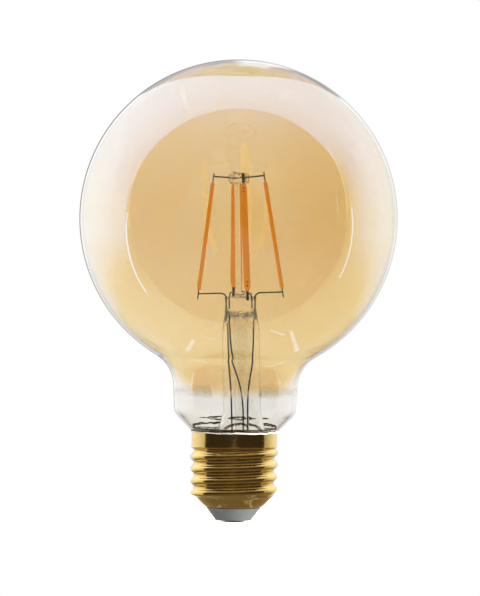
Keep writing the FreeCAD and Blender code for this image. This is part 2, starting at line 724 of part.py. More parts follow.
def capRadius(angle, height, inset):
    """Radius of the cap: plain skirt, right-hand thread that runs out at both ends, and tapered foot."""
    middle = (number("thread_crest") + number("thread_root")) / 2
    depth = (number("thread_crest") - number("thread_root")) / 2
    fade = number("thread_fade")
    fromTop = easeIn((number("skirt_low") - height) / fade)
    fromFoot = easeIn((height - number("thread_foot")) / fade)
    climb = (height - number("cap_foot")) / (number("taper_top") - number("cap_foot"))
    share = min(max(climb, 0.0), 1.0) ** number("taper_bulge")
    foot = number("cap_foot_radius") + (number("thread_root") - number("cap_foot_radius")) * share
    plain = foot + (middle - foot) * fromFoot
    plain += (number("skirt_radius") - plain) * (1 - fromTop)
    wave = threadWave(height - number("thread_start") - number("thread_pitch") * angle / (2 * math.pi))
    return plain + wave * depth * fromTop * fromFoot - inset


def capSurface(inset):
    """The cap's whole side as one smooth surface, with twelve rows of points to each turn of the thread."""
    low = number("cap_foot")
    tall = number("cap_top") - low
    rows = round(tall / number("thread_pitch") * 12)
    around = 48
    grid = []
    for step in range(around + 1):
        angle = 2 * math.pi * step / around
        line = []
        for row in range(rows + 1):
            height = low + tall * row / rows
            radius = capRadius(angle, height, inset)
            line.append(Vector(radius * math.cos(angle), radius * math.sin(angle), height))
        grid.append(line)
    surface = Part.BSplineSurface()
    surface.interpolate(grid)
    return surface.toShape()


def capShell():
    """One drawn and rolled brass sheet of even gauge, so the thread shows inside as well."""
    sides = [capSurface(0.0), capSurface(number("sheet_gauge"))]
    faces = [side.Faces[0] for side in sides]
    for height in (number("cap_foot"), number("cap_top")):
        rims = []
        for side in sides:
            flat = [edge for edge in side.Edges if edge.BoundBox.ZLength < 0.001]
            rims.append(Part.Wire([edge for edge in flat if abs(edge.BoundBox.ZMin - height) < 0.001]))
        faces += Part.Face(rims[0]).cut(Part.Face(rims[1])).Faces
    shell = Part.Shell(faces)
    shell.sewShape()
    solid = Part.Solid(shell)
    if solid.Volume < 0:
        solid.reverse()
    item = doc.addObject("Part::Feature", "cap_shell")
    item.Shape = solid
    item.Label = "cap_shell"
    item.Placement = at()
    return item


def capCement():
    return turnedBody(
        "cement_blank",
        [
            ("collar_radius", "collar_foot"),
            ("cement_radius", "collar_foot"),
            ("cement_radius", "cap_top"),
            ("collar_radius", "cap_top"),
        ],
    )


def insulator():
    return turnedBody(
        "insulator",
        [
            ("rivet_radius", "contact_seat"),
            ("insulator_foot_radius", "contact_seat"),
            ("cap_foot_radius", "insulator_rim"),
            ("throat_radius", "insulator_rim"),
            ("throat_radius", "throat_top"),
            ("holder_radius", "holder_low"),
            ("holder_radius", "holder_height"),
            ("holder_bore", "holder_height"),
            ("holder_bore", "hollow_low"),
            ("insulator_foot_radius", "floor_top"),
            ("rivet_radius", "floor_top"),
        ],
    )


def centreContact():
    return turnedBody(
        "centre_contact",
        [
            (0, 0),
            ("contact_radius", 0),
            ("contact_radius", "contact_seat"),
            ("rivet_radius", "contact_seat"),
            ("rivet_radius", "floor_top"),
            ("rivet_head_radius", "floor_top"),
            ("rivet_head_radius", "rivet_top"),
            (0, "rivet_top"),
        ],
    )


def sideSolder():
    """A half-round patch of solder over the cap's rim, where the side wire comes out."""
    top = number("cap_top")
    low = top - number("solder_radius") - number("cut_overlap")
    patch = primitive("Cylinder", "solder_patch", at(z=top - number("solder_radius")))
    patch.setExpression("Radius", f"{link('skirt_radius')} + {link('solder_gauge')}")
    patch.setExpression("Height", f"{link('solder_radius')} + {link('solder_lap')}")
    skirt = primitive("Cylinder", "solder_skirt", at(z=low), Radius=link("skirt_radius"))
    skirt.setExpression("Height", f"{link('solder_radius')} + {link('cut_overlap')}")
    over = primitive("Cylinder", "solder_over", at(z=low), Radius=link("cement_radius"))
    over.setExpression("Height", f"{link('solder_radius')} + {link('solder_lap')} + {link('cut_overlap')} * 2")
    layer = cut("solder_layer", patch, fuse("solder_core", [skirt, over]))
    outwards = at(z=top, angle=-90 - number("solder_angle")).multiply(at(axis=Vector(0, 1, 0), angle=90))
    disc = primitive("Cylinder", "solder_disc", outwards, Radius=link("solder_radius"))
    disc.setExpression("Height", f"{link('skirt_radius')} * 2")
    item = doc.addObject("Part::MultiCommon", "side_solder")
    item.Shapes = [layer, disc]
    item.Label = "side_solder"
    return item


def boardPiece(kind, name, placement, **bindings):
    item = primitive(kind, name, placement, **bindings)
    item.Label = name
    return item


def driver():
    """The small round board and what is soldered to it, out of sight in the cap."""
    seat = number("holder_height")
    top = number("board_top")
    gap = number("solder_gap")
    board = boardPiece("Cylinder", "driver_board", at(z=seat), Radius=link("board_radius"),
                       Height=link("board_gauge"))
    can = boardPiece("Cylinder", "smoothing_capacitor", None, Radius=link("can_radius"),
                     Height=link("can_length"))
    can.Placement = at(-number("can_length") / 2, number("can_y"), top + number("can_radius") + gap,
                       Vector(0, 1, 0), 90)
    corner = at(number("rectifier_x"), number("rectifier_y"), top + gap)
    rectifier = boardPiece("Box", "bridge_rectifier", corner, Length=link("rectifier_length"),
                           Width=link("rectifier_width"), Height=link("rectifier_height"))
    corner = at(number("chip_x"), number("chip_y"), seat - number("chip_height") - gap)
    chip = boardPiece("Box", "driver_chip", corner, Length=link("chip_length"), Width=link("chip_width"),
                      Height=link("chip_height"))
    resistor = boardPiece("Cylinder", "fusible_resistor", None, Radius=link("resistor_radius"),
                          Height=link("resistor_length"))
    resistor.Placement = at(-number("resistor_length") / 2, number("resistor_y"),
                            seat - number("resistor_radius") - gap, Vector(0, 1, 0), 90)
    return [board, can, rectifier, chip, resistor]


def contactWire():
    """From the rivet's head up to the board."""
    start = (0, number("rivet_top") + number("weld_gap"))
    end = (number("contact_wire_drift"), number("holder_height") - number("weld_gap"))
    sweep = easyRadius(start, end)
    return wireBody("contact_wire", [start, midway(start, end), end], {0: (sweep, -1), 1: (sweep, 1)})


def shellWire():
    """From the board's edge out and up beside the glass collar to the solder at the rim."""
    start = (number("board_radius") - number("side_wire_room"), number("board_top") + number("weld_gap"))
    inside = number("thread_root") - number("sheet_gauge") - number("side_wire_room")
    bend = (inside, number("skirt_low") - number("thread_fade"))
    beside = ((number("collar_radius") + number("cement_radius")) / 2, number("collar_foot"))
    body = wireBody(
        "shell_wire",
        [start, midway(start, bend), bend, midway(bend, beside), beside, (beside[0], "cap_top")],
        {
            0: (easyRadius(start, bend), -1),
            1: (easyRadius(start, bend), 1),
            2: (easyRadius(bend, beside), -1),
            3: (easyRadius(bend, beside), 1),
        },
        "side_wire_radius",
    )
    body.Placement = at(angle=-90 - number("solder_angle"))
    return body


# The whole mount, from the flare up, stands a little off the bulb's axis and leans back towards it.
pivot = Vector(0, 0, number("flare_rim"))
mount = Placement(Vector(number("mount_shift"), 0, 0), Rotation(Vector(0, 1, 0), -number("mount_lean")), pivot)

FILAMENTS = {"right": 0, "back": 90, "left": 180, "front": 270}
REACH = {"right": "outer", "back": "inner", "left": "outer", "front": "inner"}

pieces = [glassGlobe()]

turns = {side: turn + number("cage_turn") for side, turn in FILAMENTS.items()}
lowerWires = []
topWires = []
for side, turn in turns.items():
    sign = 1 if side in ("right", "front") else -1
    reach = sign * number(f"{REACH[side]}_wire_reach")
    lowerWires.append(lowerWire(f"lower_wire_{side}", turn, reach))
    topWires.append(topWire(f"top_wire_{side}", turn))
    pieces.append(filament(f"filament_{side}", turn))
    pieces.append(filamentTabs(f"filament_{side}_tabs", turn))
leads = [stemLead(side) for side in ("left", "middle", "right")]
pieces += lowerWires + topWires + leads

outside, inside = stemBlank()
for item in (outside, inside):
    item.Placement = mount
stemCore = fuse("stem_core", [inside] + lowerWires + leads)
pieces.append(cut("stem_tube", outside, stemCore))

for body in (exhaustTube(), centrePost()):
    body.Placement = mount
    pieces.append(body)
blank = beadBlank()
blank.Placement = mount
pieces.append(cut("post_bead", blank, fuse("bead_wires", topWires)))

pieces += [capShell(), insulator(), centreContact(), contactWire()]
wire = shellWire()
pieces.append(wire)
cement = capCement()
pieces.append(cut("cap_cement", cement, wire))
pieces.append(sideSolder())
pieces += driver()

doc.recompute()

# Nothing is written unless every object and every piece is sound.
for item in doc.Objects:
    if "Invalid" in item.State or "Error" in item.State:
        raise RuntimeError(f"{item.Label} is not built: {item.State}")
os.makedirs("parts", exist_ok=True)
for item in pieces:
    if item.Shape.isNull() or not item.Shape.isValid():
        raise RuntimeError(f"{item.Label} has no sound shape")
for item in pieces:
    item.Shape.exportStep(f"parts/{item.Label}.step")
    box = item.Shape.BoundBox
    print(f"{item.Label:22s} {len(item.Shape.Solids)} solid(s) {item.Shape.Volume:9.1f} mm3"
          f" z {box.ZMin:7.2f} to {box.ZMax:7.2f}")
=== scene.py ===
import math
import bpy
from mathutils import Matrix, Vector


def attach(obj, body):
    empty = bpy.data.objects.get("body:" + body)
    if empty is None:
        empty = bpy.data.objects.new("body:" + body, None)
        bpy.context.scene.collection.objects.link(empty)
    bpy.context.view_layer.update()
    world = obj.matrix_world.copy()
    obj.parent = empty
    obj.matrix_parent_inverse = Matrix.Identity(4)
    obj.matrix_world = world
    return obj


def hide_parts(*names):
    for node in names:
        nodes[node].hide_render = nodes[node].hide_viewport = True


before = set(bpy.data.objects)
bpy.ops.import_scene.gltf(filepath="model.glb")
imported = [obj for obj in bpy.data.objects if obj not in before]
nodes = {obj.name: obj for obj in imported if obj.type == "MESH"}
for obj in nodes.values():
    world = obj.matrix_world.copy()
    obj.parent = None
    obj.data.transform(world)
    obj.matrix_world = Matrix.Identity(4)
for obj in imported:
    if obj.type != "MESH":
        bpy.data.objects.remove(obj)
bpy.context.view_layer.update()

sides = ("right", "back", "left", "front")
print("frame loaded:", len(nodes), "pieces")


# Small helpers

def linear(code):
    shares = [int(code[i:i + 2], 16) / 255 for i in (1, 3, 5)]
    light = [s / 12.92 if s <= 0.04045 else ((s + 0.055) / 1.055) ** 2.4 for s in shares]
    return (*light, 1.0)


def shaded(colour, share):
    return (*(min(channel * share, 1.0) for channel in linear(colour)[:3]), 1.0)


def addNode(tree, kind, inputs=None, **settings):
    made = tree.nodes.new(kind)
    for name, value in settings.items():
        setattr(made, name, value)
    for key, value in (inputs or {}).items():
        if isinstance(value, bpy.types.Node):
            value = value.outputs[0]
        if isinstance(value, bpy.types.NodeSocket):
            tree.links.new(value, made.inputs[key])
        else:
            made.inputs[key].default_value = value
    return made


def newMaterial(name):
    material = bpy.data.materials.new(name)
    material.use_nodes = True
    material.node_tree.nodes.clear()
    return material, material.node_tree


def show(tree, shader):
    addNode(tree, "ShaderNodeOutputMaterial", {"Surface": shader})


def dress(material, *names):
    for name in names:
        for slot in nodes[name].material_slots:
            slot.material = material


# Materials

def makeVapourCoatedGlass():
    # Blown soda-lime bulb, then a metal-oxide vapour coat that stops above the neck.
    # The coat passes amber and mirrors the rest, so it looks golden against light
    # and milky where it mirrors something white.
    finish = {
        "bareIor": 1.5, "coatIor": 3.73, "coatMirror": "#81BCFF",
        "bareTint": "#FAF8F4", "thinTint": "#FDFBF4", "thickTint": "#F9F3DF",
        # the rim shade tint is painted shade for the glass's thin grey outline
        "rimShadeTint": "#A39E96", "rimShadeFrom": 0.86, "rimShadeTo": 0.97,
        "edgeLow": 0.0372, "edgeHigh": 0.0408, "edgeWander": 0.0015,
        "leftEnd": -0.025, "rightEnd": 0.03,
        "cloudScale": 45.0, "cloudDrift": 0.05,  # clouds of about 22 mm
    }
    material, tree = newMaterial("vapourCoatedGlass")
    place = addNode(tree, "ShaderNodeTexCoord").outputs["Object"]
    spot = addNode(tree, "ShaderNodeSeparateXYZ", {0: place}).outputs
    cloud = addNode(tree, "ShaderNodeTexNoise", {
        "Vector": place, "Scale": finish["cloudScale"], "Detail": 2.0})
    wander = addNode(tree, "ShaderNodeMath", {
        0: cloud, 1: finish["edgeWander"], 2: spot["Z"]}, operation="MULTIPLY_ADD")
    cover = addNode(tree, "ShaderNodeMapRange", {
        "Value": wander,
        "From Min": finish["edgeLow"] + finish["edgeWander"] / 2,
        "From Max": finish["edgeHigh"] + finish["edgeWander"] / 2}, interpolation_type="SMOOTHSTEP")
    # painted shade: the tint turns grey where the wall is seen at a slant, which draws a thin grey
    # outline round the glass
    paintedRimShade = addNode(tree, "ShaderNodeLayerWeight", {"Blend": 0.5}).outputs["Facing"]
    paintedRimShade = addNode(tree, "ShaderNodeMapRange", {
        "Value": paintedRimShade, "From Min": finish["rimShadeFrom"], "From Max": finish["rimShadeTo"]})
    bareTint = addNode(tree, "ShaderNodeMix", {
        0: paintedRimShade, 6: linear(finish["bareTint"]), 7: linear(finish["rimShadeTint"])}, data_type="RGBA")
    bare = addNode(tree, "ShaderNodeBsdfPrincipled", {
        "Base Color": bareTint.outputs[2], "Roughness": 0.0, "IOR": finish["bareIor"],
        "Transmission Weight": 1.0})
    # the coat is a little thicker towards the right, in soft clouds
    patchy = addNode(tree, "ShaderNodeMath", {
        0: cloud, 1: finish["cloudDrift"], 2: spot["X"]}, operation="MULTIPLY_ADD")
    thick = addNode(tree, "ShaderNodeMapRange", {
        "Value": patchy,
        "From Min": finish["leftEnd"] + finish["cloudDrift"] / 2,
        "From Max": finish["rightEnd"] + finish["cloudDrift"] / 2})
    tint = addNode(tree, "ShaderNodeMix", {
        0: thick, 6: linear(finish["thinTint"]), 7: linear(finish["thickTint"])}, data_type="RGBA")
    tint = addNode(tree, "ShaderNodeMix", {
        0: paintedRimShade, 6: tint.outputs[2], 7: linear(finish["rimShadeTint"])}, data_type="RGBA")
    coated = addNode(tree, "ShaderNodeBsdfPrincipled", {
        "Base Color": tint.outputs[2], "Roughness": 0.0, "IOR": finish["coatIor"],
        "Specular Tint": linear(finish["coatMirror"]), "Transmission Weight": 1.0})
    show(tree, addNode(tree, "ShaderNodeMixShader", {0: cover, 1: bare, 2: coated}))
    return material


def makeDrawnGlass(name, wrinkles, low, high):
    # Drawn glass, flame-pressed between two heights: clear, and wrinkled by the tongs there, so the
    # press shows broken glints and dark folds.
    finish = {"tint": "#FFFFFE", "ior": 1.5, "foldScale": 700.0, "foldDepth": 0.0005, "fade": 0.001}
    material, tree = newMaterial(name)
    place = addNode(tree, "ShaderNodeTexCoord").outputs["Object"]
    height = addNode(tree, "ShaderNodeSeparateXYZ", {0: place}).outputs["Z"]
    above = addNode(tree, "ShaderNodeMapRange", {
        "Value": height, "From Min": low - finish["fade"], "From Max": low})
    below = addNode(tree, "ShaderNodeMapRange", {
        "Value": height, "From Min": high, "From Max": high + finish["fade"],
        "To Min": wrinkles, "To Max": 0.0})
    pinched = addNode(tree, "ShaderNodeMath", {0: above, 1: below}, operation="MULTIPLY")
    folds = addNode(tree, "ShaderNodeTexNoise", {  # folds of about 1.4 mm
        "Vector": place, "Scale": finish["foldScale"], "Detail": 2.0, "Distortion": 1.0})
    bump = addNode(tree, "ShaderNodeBump", {
        "Strength": pinched, "Distance": finish["foldDepth"], "Height": folds})
    show(tree, addNode(tree, "ShaderNodeBsdfPrincipled", {
        "Base Color": linear(finish["tint"]), "Roughness": 0.0, "IOR": finish["ior"],
        "Transmission Weight": 1.0, "Normal": bump}))
    return material


def makePhosphorSilicone():
    # Silicone filled with orange phosphor, dipped over the chips: soft, waxy and lit through.
    # Its glow is painted light: a faint, even orange emission, though the filament is no lamp.
    finish = {
        "low": "#FFAC0C", "high": "#FAA228", "foot": 0.070, "head": 0.101, "glow": 0.66,
        "roughness": 0.42, "ior": 1.41, "depth": 0.0012, "spread": (1.0, 0.6, 0.15), "weight": 0.6,
        "grainScale": 1500.0,  # grains of about 0.7 mm
        "grainDepth": 0.00005, "grainStrength": 0.2,
    }
    material, tree = newMaterial("dippedPhosphorSilicone")
    place = addNode(tree, "ShaderNodeTexCoord").outputs["Object"]
    grain = addNode(tree, "ShaderNodeTexNoise", {
        "Vector": place, "Scale": finish["grainScale"], "Detail": 2.0})
    height = addNode(tree, "ShaderNodeSeparateXYZ", {0: place}).outputs["Z"]
    rise = addNode(tree, "ShaderNodeMapRange", {
        "Value": height, "From Min": finish["foot"], "From Max": finish["head"]})
    colour = addNode(tree, "ShaderNodeMix", {
        0: rise, 6: linear(finish["low"]), 7: linear(finish["high"])}, data_type="RGBA").outputs[2]
    bump = addNode(tree, "ShaderNodeBump", {
        "Strength": finish["grainStrength"], "Distance": finish["grainDepth"], "Height": grain})
    show(tree, addNode(tree, "ShaderNodeBsdfPrincipled", {
        "Base Color": colour, "Normal": bump,
        "Roughness": finish["roughness"], "IOR": finish["ior"],
        "Subsurface Weight": finish["weight"], "Subsurface Radius": finish["spread"],
        "Subsurface Scale": finish["depth"],
        "Emission Color": colour, "Emission Strength": finish["glow"]}))
    return material


def addSpots(tree, colour, roughness, tone):
    # colour and shine drift together in spots of about a millimetre, coarse enough to show
    spots = {"scale": 900.0, "detail": 3.0}
    place = addNode(tree, "ShaderNodeTexCoord").outputs["Object"]
    mottle = addNode(tree, "ShaderNodeTexNoise", {
        "Vector": place, "Scale": spots["scale"], "Detail": spots["detail"]})
    rough = addNode(tree, "ShaderNodeMapRange", {
        "Value": mottle, "To Min": roughness * (1 - tone), "To Max": roughness * (1 + tone)})
    cast = addNode(tree, "ShaderNodeMix", {
        0: mottle, 6: shaded(colour, 1 + tone), 7: shaded(colour, 1 - tone)}, data_type="RGBA")
    return cast.outputs[2], rough


def makeMetal(name, colour, roughness, tone=0.12):
    material, tree = newMaterial(name)
    cast, rough = addSpots(tree, colour, roughness, tone)
    show(tree, addNode(tree, "ShaderNodeBsdfPrincipled", {
        "Base Color": cast, "Metallic": 1.0, "Roughness": rough}))
    return material


def makeMatte(name, colour, roughness, tone=0.15, ior=1.5):
    material, tree = newMaterial(name)
    cast, rough = addSpots(tree, colour, roughness, tone)
    show(tree, addNode(tree, "ShaderNodeBsdfPrincipled", {
        "Base Color": cast, "Roughness": rough, "IOR": ior}))
    return material


coatedGlass = makeVapourCoatedGlass()
stemGlass = makeDrawnGlass("drawnStemGlass", wrinkles=0.3, low=0.059, high=0.0625)
# the bead is wrinkled all through, so it shows as a knot of glints
beadGlass = makeDrawnGlass("meltedBeadGlass", wrinkles=0.7, low=0.09, high=0.11)
phosphor = makePhosphorSilicone()
# drawn nickel wire, dulled by the flame: a dark olive line with little shine
nickel = makeMetal("drawnNickelWire", "#84744E", 0.35)
# rolled nickel strip, left matt by the weld: paler and softer than the wire
strip = makeMetal("rolledNickelStrip", "#E0D2B0", 0.6)
# drawn lead wire, oxidised by the heat of the seal: a brown line that is nearly black in glass
leadWire = makeMetal("oxidisedLeadWire", "#6E4314", 0.45)
# brass sheet, rolled to a thread and lacquered: bright gold beside near-black mirrored bands
brass = makeMetal("rolledLacqueredBrass", "#F4D484", 0.15)
# tin solder, wiped while hot: a grey patch with a blurred shine
solder = makeMetal("wipedTinSolder", "#C4BCA6", 0.3)
# riveted and dip-tinned: pale silver, a little softer than a mirror
tinned = makeMetal("tinnedRivet", "#C9C7C1", 0.25)
# deep-drawn aluminium can: light grey with a soft shine
canMetal = makeMetal("drawnAluminiumCan", "#D5D6D8", 0.3)
# basing cement, filled in wet and fired: chalky and off-white, with no shine
cement = makeMatte("firedBasingCement", "#D2C9B8", 0.9)
# moulded insulator: an even grey with a light sheen towards the lamp
insulatorFinish = makeMatte("mouldedGreyInsulator", "#5E6260", 0.3)
# painted reflection and shade: a dull brown-red line, the cap's brass and dark gap mirrored in the
# neck
paintedBrassReflection = makeMatte("paintedCapReflection", "#7E5A42", 0.8)
# pressed glass-fibre laminate: a pale straw colour, half matt
laminate = makeMatte("glassFibreLaminate", "#D8D2B4", 0.5)
# moulded epoxy: black, half matt
epoxy = makeMatte("mouldedEpoxyCase", "#1E1E20", 0.5)
print("materials ready")


# Every Geometry Nodes tree here starts and ends in the same way

def startTree(name, inputs):
    tree = bpy.data.node_groups.new(name, "GeometryNodeTree")
    tree.interface.new_socket("Geometry", in_out="INPUT", socket_type="NodeSocketGeometry")
    for label, kind in inputs.items():
        tree.interface.new_socket(label, in_out="INPUT", socket_type=kind)
    tree.interface.new_socket("Geometry", in_out="OUTPUT", socket_type="NodeSocketGeometry")
    return tree, addNode(tree, "NodeGroupInput").outputs


def endTree(tree, shape, material, smooth=True):
    if smooth:
        shape = addNode(tree, "GeometryNodeSetShadeSmooth", {
            "Geometry": shape, "Shade Smooth": True})
    real = addNode(tree, "GeometryNodeRealizeInstances", {"Geometry": shape})
    finished = addNode(tree, "GeometryNodeSetMaterial", {"Geometry": real, "Material": material})
    addNode(tree, "NodeGroupOutput", {0: finished})
    return tree


def applyTree(piece, tree, values):
    modifier = piece.modifiers.new("shape", "NODES")
    modifier.node_group = tree
    sockets = {item.name: item.identifier
               for item in tree.interface.items_tree if item.in_out == "INPUT"}
    for name, value in values.items():
        modifier[sockets[name]] = value
    graph = bpy.context.evaluated_depsgraph_get()
    mesh = bpy.data.meshes.new_from_object(piece.evaluated_get(graph))
    piece.modifiers.remove(modifier)
    piece.data = mesh
    return piece


def newPiece(name, points, edges=(), faces=()):
    mesh = bpy.data.meshes.new(name)
    mesh.from_pydata([tuple(p) for p in points], list(edges), list(faces))
    piece = bpy.data.objects.new(name, mesh)
    bpy.context.scene.collection.objects.link(piece)
    return piece


# Turned glass: an outline in the XZ plane is carried round the Z axis

def makeTurningTree(material, name):
    tree, given = startTree(name, {"Around": "NodeSocketInt", "Along": "NodeSocketInt"})
    outline = addNode(tree, "GeometryNodeMeshToCurve", {0: given["Geometry"]})
    grid = addNode(tree, "GeometryNodeMeshGrid", {
        "Size X": 1.0, "Size Y": 1.0, "Vertices X": given["Along"], "Vertices Y": given["Around"]})
    spot = addNode(tree, "GeometryNodeInputPosition")
    spot = addNode(tree, "ShaderNodeSeparateXYZ", {0: spot}).outputs
    along = addNode(tree, "ShaderNodeMath", {0: spot["X"], 1: 0.5}, operation="ADD", use_clamp=True)
    turn = addNode(tree, "ShaderNodeMath", {0: spot["Y"], 1: math.tau}, operation="MULTIPLY")
    sample = addNode(tree, "GeometryNodeSampleCurve", {
        "Curves": outline, "Factor": along}, mode="FACTOR", use_all_curves=False)
    corner = addNode(tree, "ShaderNodeSeparateXYZ", {0: sample.outputs["Position"]}).outputs
    cosine = addNode(tree, "ShaderNodeMath", {0: turn}, operation="COSINE")
    sine = addNode(tree, "ShaderNodeMath", {0: turn}, operation="SINE")
    x = addNode(tree, "ShaderNodeMath", {0: corner["X"], 1: cosine}, operation="MULTIPLY")
    y = addNode(tree, "ShaderNodeMath", {0: corner["X"], 1: sine}, operation="MULTIPLY")
    position = addNode(tree, "ShaderNodeCombineXYZ", {0: x, 1: y, 2: corner["Z"]})
    moved = addNode(tree, "GeometryNodeSetPosition", {"Geometry": grid, "Position": position})
    closed = addNode(tree, "GeometryNodeMergeByDistance", {"Geometry": moved, "Distance": 0.000002})
    return endTree(tree, closed, material)


def turnedPiece(name, outline, tree, around, along):
    points = [(r / 1000, 0, z / 1000) for r, z in outline]
    edges = [(i, i + 1) for i in range(len(points) - 1)]
    return applyTree(newPiece(name, points, edges), tree, {"Around": around + 1, "Along": along})


def arc(centre, radius, first, last, steps):
    angles = [first + (last - first) * i / steps for i in range(steps + 1)]
    return [(centre[0] + radius * math.cos(a), centre[1] + radius * math.sin(a)) for a in angles]


def roundedCorner(before, corner, after, radius, steps):
    b, c, a = Vector(before), Vector(corner), Vector(after)
    back, on = (b - c).normalized(), (a - c).normalized()
    half = back.angle(on) / 2
    middle = c + (back + on).normalized() * (radius / math.sin(half))
    start = c + back * (radius / math.tan(half)) - middle
    end = c + on * (radius / math.tan(half)) - middle
    turn = start.angle_signed(end)
    points = []
    for i in range(steps + 1):
        spoke = start.copy()
        spoke.rotate(Matrix.Rotation(-turn * i / steps, 2))
        points.append(tuple(middle + spoke))
    return points


def bulbOutline(globe, wall):
    # from the top of the globe down to the foot of the collar, in millimetres
    radius = globe["radius"] - wall
    centre = globe["top"] - globe["radius"]
    neck = globe["neck"] - wall
    top = (neck, centre - math.sqrt(radius ** 2 - neck ** 2))
    low = (globe["lowNeck"] - wall * globe["shoulderIn"],
           globe["shoulder"] + wall * globe["shoulderUp"])
    bend = globe["neckBend"] + wall
    ledge = globe["hollowLedge"] if wall else (globe["ledge"], globe["ledgeTop"])
    # the hollow bend touches the globe and the neck's line
    run = (Vector(top) - Vector(low)).normalized()
    out = Vector((run.y, -run.x))
    foot = Vector(low) + out * bend - Vector((0, centre))
    middle = foot.dot(run)
    reach = math.sqrt(middle ** 2 - foot.length_squared + (radius + bend) ** 2)
    slide = min(-middle + reach, -middle - reach, key=abs)
    hub = foot + run * slide + Vector((0, centre))
    direction = (hub - Vector((0, centre))).normalized()
    globeEnd = math.atan2(direction.y, direction.x)
    touch = hub - out * bend
    bendStart = globeEnd + math.pi
    bendEnd = math.atan2((touch - hub).y, (touch - hub).x)
    if bendEnd < 0:
        bendEnd += math.tau
    if bendStart > math.pi * 1.5:
        bendStart -= math.tau
    outline = arc((0, centre), radius, math.pi / 2, globeEnd, globe["globeSteps"])
    outline += arc(hub, bend, bendStart, bendEnd, globe["bendSteps"])
    shoulderBend = globe["shoulderBend"] - wall
    outline += roundedCorner(touch, low, ledge, shoulderBend, globe["shoulderSteps"])
    collarTop = globe["hollowLedge"][1] if wall else globe["collarTop"]
    outline += [ledge, (globe["collar"] - wall, collarTop), (globe["collar"] - wall, globe["foot"])]
    return outline


globe = {
    "radius": 47.47, "top": 137.97, "wall": 0.8, "neck": 18.9, "lowNeck": 18.1, "neckBend": 10.7,
    "shoulder": 32.4, "shoulderBend": 4.0, "ledge": 13.1, "ledgeTop": 27.3,
    "shoulderIn": 0.978, "shoulderUp": 0.431, "hollowLedge": (12.47, 27.8),
    "collar": 12.1, "collarTop": 27.0, "foot": 23.3,
    "around": 180, "along": 520, "globeSteps": 220, "bendSteps": 40, "shoulderSteps": 24,
}
outline = bulbOutline(globe, 0.0) + bulbOutline(globe, globe["wall"])[::-1]
glassTree = makeTurningTree(coatedGlass, "turnedGlass")
blownGlobe = turnedPiece("blownGlobe", outline, glassTree, globe["around"], globe["along"])
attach(blownGlobe, "root")
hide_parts("glass_globe")
print("globe ready:", len(blownGlobe.data.polygons), "faces")

dress(stemGlass, "stem_tube", "exhaust_tube", "centre_post")
dress(beadGlass, "post_bead")
for side in sides:
    dress(phosphor, f"filament_{side}")
    dress(strip, f"filament_{side}_tabs")
    dress(nickel, f"lower_wire_{side}", f"top_wire_{side}")
dress(leadWire, "stem_lead_left", "stem_lead_middle", "stem_lead_right")
dress(leadWire, "shell_wire", "contact_wire")
dress(brass, "cap_shell")
dress(cement, "cap_cement")
dress(solder, "side_solder")
dress(insulatorFinish, "insulator")
dress(tinned, "centre_contact")
dress(laminate, "driver_board")
dress(canMetal, "smoothing_capacitor")
dress(epoxy, "bridge_rectifier", "driver_chip", "fusible_resistor")
print("frame pieces dressed")


# Cement squeezed out between glass and brass: a thin bead that wanders round the rim

def makeBeadTree(material, name):
    tree, given = startTree(name, {
        "Radius": "NodeSocketFloat", "Thickness": "NodeSocketFloat", "Wander": "NodeSocketFloat",
        "Lump size": "NodeSocketFloat", "Steps": "NodeSocketInt", "Seed": "NodeSocketFloat"})
    rim = addNode(tree, "GeometryNodeCurvePrimitiveCircle", {
        "Resolution": given["Steps"], "Radius": given["Radius"]}, mode="RADIUS")
    section = addNode(tree, "GeometryNodeCurvePrimitiveCircle", {
        "Resolution": 8, "Radius": given["Thickness"]}, mode="RADIUS")
    rope = addNode(tree, "GeometryNodeCurveToMesh", {0: rim, 1: section})
    spot = addNode(tree, "GeometryNodeInputPosition")
    lumps = addNode(tree, "ShaderNodeTexNoise", {
        "Vector": spot, "W": given["Seed"], "Scale": given["Lump size"], "Detail": 3.0},
        noise_dimensions="4D")
    centred = addNode(tree, "ShaderNodeVectorMath", {
        0: lumps.outputs["Color"], 1: (0.5, 0.5, 0.5)}, operation="SUBTRACT")
    push = addNode(tree, "ShaderNodeVectorMath", {
        0: centred, "Scale": given["Wander"]}, operation="SCALE")
    moved = addNode(tree, "GeometryNodeSetPosition", {"Geometry": rope, "Offset": push})
    return endTree(tree, moved, material)


def layBead(name, material, bead, height, slope=0.0):
    # a ring at the given height, which climbs by the slope towards the back
    piece = applyTree(newPiece(name, [(0, 0, 0)]), makeBeadTree(material, name), bead)
    for vertex in piece.data.vertices:
        vertex.co.z += height + slope * vertex.co.y
    return piece


bead = {
    "Radius": 0.01280, "Thickness": 0.00026, "Wander": 0.0009, "Lump size": 320.0,
    "Steps": 320, "Seed": 4.0,
}
cementBead = layBead("cementBead", cement, bead, height=0.02697)
# an uneven brown ring inside the clear neck, higher at the back, is painted reflection and shade:
# the cap's brass and the dark gap mirrored in the glass. A paler cement ring crosses it
ridge = {
    "Radius": 0.01240, "Thickness": 0.00020, "Wander": 0.0012, "Lump size": 420.0,
    "Steps": 320, "Seed": 9.0,
}
paintedReflectionRing = layBead("paintedReflectionRing", paintedBrassReflection, ridge, height=0.02858, slope=0.05)
ridge.update({"Radius": 0.0122, "Wander": 0.0014, "Seed": 3.0})
paleRidge = layBead("paleRidge", cement, ridge, height=0.02846, slope=0.04)
for piece in (cementBead, paintedReflectionRing, paleRidge):
    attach(piece, "root")
print("cement bead ready:", len(cementBead.data.polygons), "faces")


# Two dark joints show near each end of a filament's outer face

def makeDotTree(material, name):
    tree, given = startTree(name, {"Size": "NodeSocketFloat"})
    ball = addNode(tree, "GeometryNodeMeshIcoSphere", {"Radius": given["Size"], "Subdivisions": 2})
    dots = addNode(tree, "GeometryNodeInstanceOnPoints", {
        "Points": given["Geometry"], "Instance": ball})
    return endTree(tree, dots, material, smooth=False)


